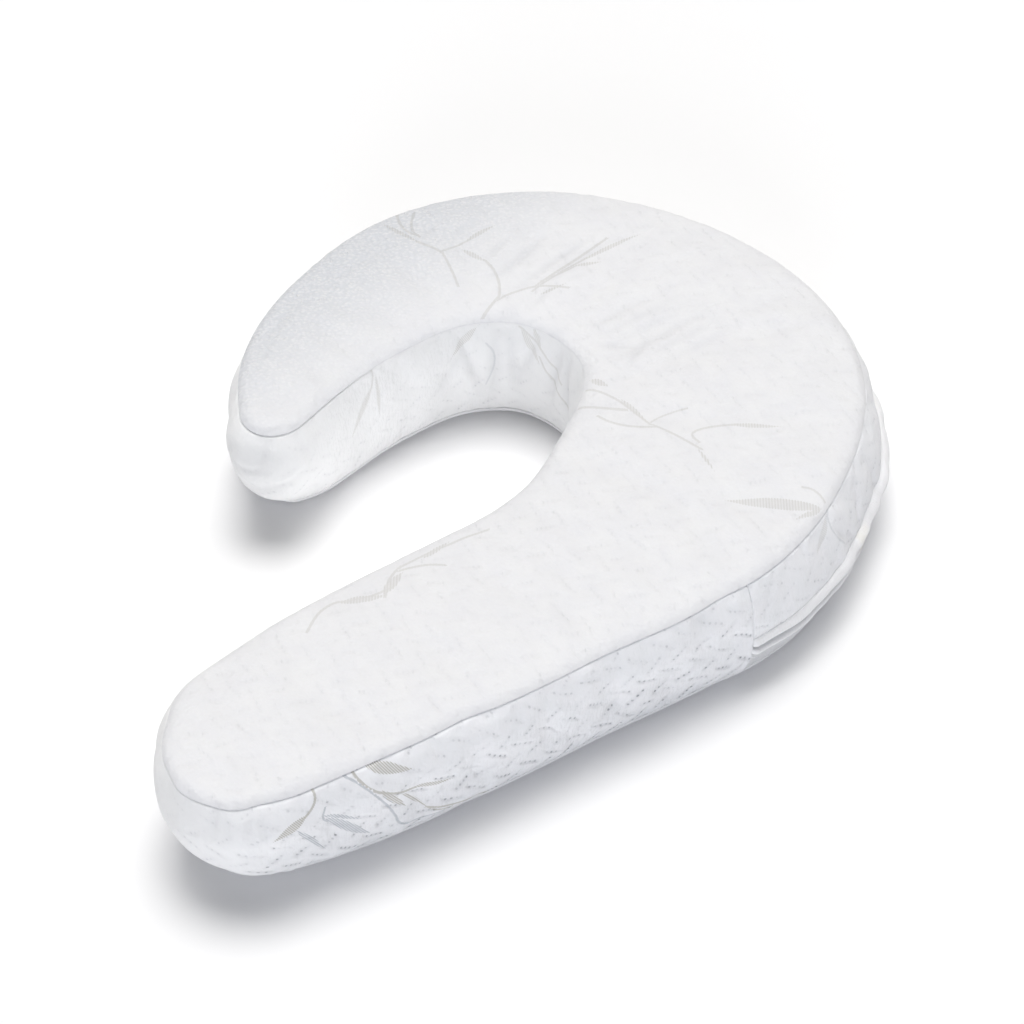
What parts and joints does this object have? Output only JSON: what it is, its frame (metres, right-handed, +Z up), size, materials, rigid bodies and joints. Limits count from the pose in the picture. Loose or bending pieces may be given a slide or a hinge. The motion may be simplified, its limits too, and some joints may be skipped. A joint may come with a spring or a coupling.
{
  "type": "body pillow",
  "caption": "Hook-shaped body pillow in a white knitted cover, with a boxed side band, a crowned top and a zip placket round its outer curve.",
  "frame": {"origin": "middle of the whole pillow's plan, on the surface it lies on", "axes": "+X along the long arm from its tip towards the loop, +Y from the long arm towards the short one, +Z up"},
  "size_m": [0.6008, 0.4388, 0.1],
  "materials": {
    "panel_knit": "white knitted jacquard with short raised strokes, matte",
    "band_knit": "white quilted knit with rows of pin dimples, matte",
    "strip_knit": "white knit with fine slanting ribs, matte",
    "folded_placket": "white folded cloth with faint cross ribs, matte"
  },
  "bodies": {
    "root": {"filled_pillow": "panel_knit", "side_band": "band_knit", "zip_band_upper": "band_knit", "zip_band_lower": "strip_knit", "placket_upper": "folded_placket", "placket_lower": "folded_placket"}
  },
  "joints": []
}
